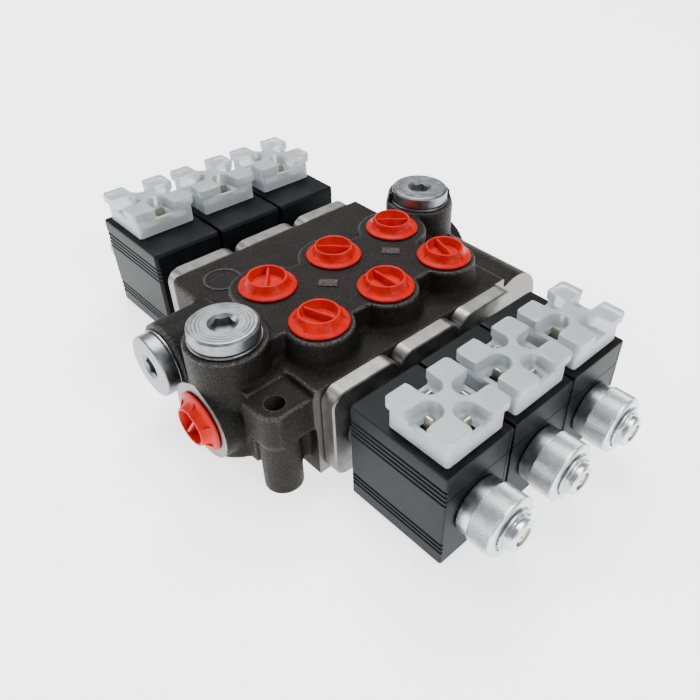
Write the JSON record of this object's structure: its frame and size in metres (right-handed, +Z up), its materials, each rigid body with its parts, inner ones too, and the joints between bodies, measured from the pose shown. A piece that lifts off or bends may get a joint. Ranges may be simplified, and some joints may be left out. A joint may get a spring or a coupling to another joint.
{
  "type": "hydraulic monoblock valve",
  "caption": "Cast block that shifts oil between work ports on its top; a solenoid at each end of every spool moves it, and plugs close the ports.",
  "frame": {"origin": "on the casting's flat underside, below the middle spool's axis and midway between the two side faces", "axes": "+X along the spools, towards the solenoids on the side of the mounting ear; +Y along the row of sections, away from the inlet; +Z up, towards the work ports"},
  "size_m": [0.2904, 0.1916, 0.0685],
  "materials": {
    "cast_iron": "charcoal cast skin, lighter where worn",
    "brushed_steel": "milled grey steel",
    "zinc_plate": "bright zinc, turned and knurled",
    "black_nylon": "moulded, satin",
    "milky_nylon": "translucent, moulded",
    "red_polyethylene": "soft moulded, satin",
    "ground_steel": "ground",
    "brass_rod": "turned",
    "spring_steel": "drawn wire"
  },
  "bodies": {
    "valve": {"valve_body": "cast_iron", "port_cap_1_front": "red_polyethylene", "port_cap_1_rear": "red_polyethylene", "port_cap_2_front": "red_polyethylene", "port_cap_2_rear": "red_polyethylene", "port_cap_3_front": "red_polyethylene", "port_cap_3_rear": "red_polyethylene", "inlet_cap": "red_polyethylene", "outlet_cap": "red_polyethylene", "gallery_plug_near": "zinc_plate", "gallery_plug_far": "zinc_plate", "relief_cap": "zinc_plate", "adapter_plate_1_front": "brushed_steel", "armature_tube_1_front": "zinc_plate", "coil_1_front": "black_nylon", "terminal_guard_1_front": "milky_nylon", "adapter_plate_1_rear": "brushed_steel", "armature_tube_1_rear": "zinc_plate", "coil_1_rear": "black_nylon", "terminal_guard_1_rear": "milky_nylon", "centring_spring_1": "spring_steel", "adapter_plate_2_front": "brushed_steel", "armature_tube_2_front": "zinc_plate", "coil_2_front": "black_nylon", "terminal_guard_2_front": "milky_nylon", "adapter_plate_2_rear": "brushed_steel", "armature_tube_2_rear": "zinc_plate", "coil_2_rear": "black_nylon", "terminal_guard_2_rear": "milky_nylon", "centring_spring_2": "spring_steel", "adapter_plate_3_front": "brushed_steel", "armature_tube_3_front": "zinc_plate", "coil_3_front": "black_nylon", "terminal_guard_3_front": "milky_nylon", "adapter_plate_3_rear": "brushed_steel", "armature_tube_3_rear": "zinc_plate", "coil_3_rear": "black_nylon", "terminal_guard_3_rear": "milky_nylon", "centring_spring_3": "spring_steel"},
    "spool_1": {"spool_1": "ground_steel"},
    "spool_2": {"spool_2": "ground_steel"},
    "spool_3": {"spool_3": "ground_steel"},
    "armature_1_front": {"armature_1_front": "ground_steel"},
    "override_pin_1_front": {"override_pin_1_front": "brass_rod"},
    "coil_nut_1_front": {"coil_nut_1_front": "zinc_plate"},
    "armature_1_rear": {"armature_1_rear": "ground_steel"},
    "override_pin_1_rear": {"override_pin_1_rear": "brass_rod"},
    "coil_nut_1_rear": {"coil_nut_1_rear": "zinc_plate"},
    "armature_2_front": {"armature_2_front": "ground_steel"},
    "override_pin_2_front": {"override_pin_2_front": "brass_rod"},
    "coil_nut_2_front": {"coil_nut_2_front": "zinc_plate"},
    "armature_2_rear": {"armature_2_rear": "ground_steel"},
    "override_pin_2_rear": {"override_pin_2_rear": "brass_rod"},
    "coil_nut_2_rear": {"coil_nut_2_rear": "zinc_plate"},
    "armature_3_front": {"armature_3_front": "ground_steel"},
    "override_pin_3_front": {"override_pin_3_front": "brass_rod"},
    "coil_nut_3_front": {"coil_nut_3_front": "zinc_plate"},
    "armature_3_rear": {"armature_3_rear": "ground_steel"},
    "override_pin_3_rear": {"override_pin_3_rear": "brass_rod"},
    "coil_nut_3_rear": {"coil_nut_3_rear": "zinc_plate"}
  },
  "joints": [
    {"name": "spool_1_slide", "type": "slide", "parent": "valve", "child": "spool_1", "axis": [1, 0, 0], "range_m": [-0.0035, 0.0035], "stiffness_N_per_m": 4000, "deforming": ["centring_spring_1"]},
    {"name": "spool_2_slide", "type": "slide", "parent": "valve", "child": "spool_2", "axis": [1, 0, 0], "range_m": [-0.0035, 0.0035], "stiffness_N_per_m": 4000, "deforming": ["centring_spring_2"]},
    {"name": "spool_3_slide", "type": "slide", "parent": "valve", "child": "spool_3", "axis": [1, 0, 0], "range_m": [-0.0035, 0.0035], "stiffness_N_per_m": 4000, "deforming": ["centring_spring_3"]},
    {"name": "armature_1_front_slide", "type": "slide", "parent": "valve", "child": "armature_1_front", "axis": [1, 0, 0], "range_m": [-0.0035, 0.0035]},
    {"name": "override_pin_1_front_slide", "type": "slide", "parent": "valve", "child": "override_pin_1_front", "axis": [1, 0, 0], "range_m": [-0.0035, 0.0035]},
    {"name": "coil_nut_1_front_turn", "type": "hinge", "parent": "valve", "child": "coil_nut_1_front", "pos_m": [0.131, -0.038, 0.024], "axis": [1, 0, 0], "continuous": true},
    {"name": "armature_1_rear_slide", "type": "slide", "parent": "valve", "child": "armature_1_rear", "axis": [1, 0, 0], "range_m": [-0.0035, 0.0035]},
    {"name": "override_pin_1_rear_slide", "type": "slide", "parent": "valve", "child": "override_pin_1_rear", "axis": [1, 0, 0], "range_m": [-0.0035, 0.0035]},
    {"name": "coil_nut_1_rear_turn", "type": "hinge", "parent": "valve", "child": "coil_nut_1_rear", "pos_m": [-0.131, -0.038, 0.024], "axis": [-1, 0, 0], "continuous": true},
    {"name": "armature_2_front_slide", "type": "slide", "parent": "valve", "child": "armature_2_front", "axis": [1, 0, 0], "range_m": [-0.0035, 0.0035]},
    {"name": "override_pin_2_front_slide", "type": "slide", "parent": "valve", "child": "override_pin_2_front", "axis": [1, 0, 0], "range_m": [-0.0035, 0.0035]},
    {"name": "coil_nut_2_front_turn", "type": "hinge", "parent": "valve", "child": "coil_nut_2_front", "pos_m": [0.131, 0, 0.024], "axis": [1, 0, 0], "continuous": true},
    {"name": "armature_2_rear_slide", "type": "slide", "parent": "valve", "child": "armature_2_rear", "axis": [1, 0, 0], "range_m": [-0.0035, 0.0035]},
    {"name": "override_pin_2_rear_slide", "type": "slide", "parent": "valve", "child": "override_pin_2_rear", "axis": [1, 0, 0], "range_m": [-0.0035, 0.0035]},
    {"name": "coil_nut_2_rear_turn", "type": "hinge", "parent": "valve", "child": "coil_nut_2_rear", "pos_m": [-0.131, 0, 0.024], "axis": [-1, 0, 0], "continuous": true},
    {"name": "armature_3_front_slide", "type": "slide", "parent": "valve", "child": "armature_3_front", "axis": [1, 0, 0], "range_m": [-0.0035, 0.0035]},
    {"name": "override_pin_3_front_slide", "type": "slide", "parent": "valve", "child": "override_pin_3_front", "axis": [1, 0, 0], "range_m": [-0.0035, 0.0035]},
    {"name": "coil_nut_3_front_turn", "type": "hinge", "parent": "valve", "child": "coil_nut_3_front", "pos_m": [0.131, 0.038, 0.024], "axis": [1, 0, 0], "continuous": true},
    {"name": "armature_3_rear_slide", "type": "slide", "parent": "valve", "child": "armature_3_rear", "axis": [1, 0, 0], "range_m": [-0.0035, 0.0035]},
    {"name": "override_pin_3_rear_slide", "type": "slide", "parent": "valve", "child": "override_pin_3_rear", "axis": [1, 0, 0], "range_m": [-0.0035, 0.0035]},
    {"name": "coil_nut_3_rear_turn", "type": "hinge", "parent": "valve", "child": "coil_nut_3_rear", "pos_m": [-0.131, 0.038, 0.024], "axis": [-1, 0, 0], "continuous": true}
  ],
  "couplings": [
    {"joint": "armature_1_front_slide", "follows": "spool_1_slide", "ratio": 1},
    {"joint": "override_pin_1_front_slide", "follows": "spool_1_slide", "ratio": 1},
    {"joint": "armature_1_rear_slide", "follows": "spool_1_slide", "ratio": 1},
    {"joint": "override_pin_1_rear_slide", "follows": "spool_1_slide", "ratio": 1},
    {"joint": "armature_2_front_slide", "follows": "spool_2_slide", "ratio": 1},
    {"joint": "override_pin_2_front_slide", "follows": "spool_2_slide", "ratio": 1},
    {"joint": "armature_2_rear_slide", "follows": "spool_2_slide", "ratio": 1},
    {"joint": "override_pin_2_rear_slide", "follows": "spool_2_slide", "ratio": 1},
    {"joint": "armature_3_front_slide", "follows": "spool_3_slide", "ratio": 1},
    {"joint": "override_pin_3_front_slide", "follows": "spool_3_slide", "ratio": 1},
    {"joint": "armature_3_rear_slide", "follows": "spool_3_slide", "ratio": 1},
    {"joint": "override_pin_3_rear_slide", "follows": "spool_3_slide", "ratio": 1}
  ]
}
